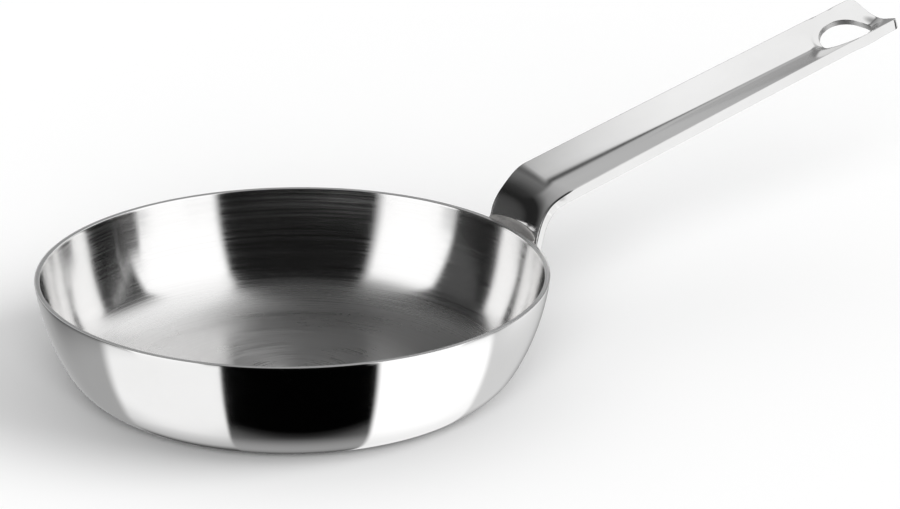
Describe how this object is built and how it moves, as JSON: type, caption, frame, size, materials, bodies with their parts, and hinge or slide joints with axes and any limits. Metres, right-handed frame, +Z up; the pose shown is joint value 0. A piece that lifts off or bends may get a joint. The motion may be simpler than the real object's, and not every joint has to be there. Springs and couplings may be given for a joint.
{
  "type": "frying pan",
  "caption": "Small round frying pan of clad sheet steel with a curved wall, level rim and flat base, and a long upswept gutter-shaped steel handle with a hanging hole.",
  "frame": {"origin": "centre of the flat base, on the hob", "axes": "+Z up along the bowl's axis, +X along the handle from the bowl's axis to the hanging hole, +Y to the left of the handle"},
  "size_m": [0.3006, 0.16, 0.0883],
  "materials": {
    "polished_steel": "mirror-polished stainless steel",
    "brushed_steel": "stainless steel brushed in circles round the pan's axis",
    "core_aluminium": "bare cut edge of the aluminium core, seen only in the rim",
    "weld_steel": "dressed weld metal, satin"
  },
  "bodies": {
    "root": {"outer_steel_layer": "polished_steel", "aluminium_core": "core_aluminium", "inner_steel_layer": "brushed_steel", "handle": "polished_steel", "rim_weld": "weld_steel", "left_side_weld": "weld_steel", "right_side_weld": "weld_steel"}
  },
  "joints": []
}
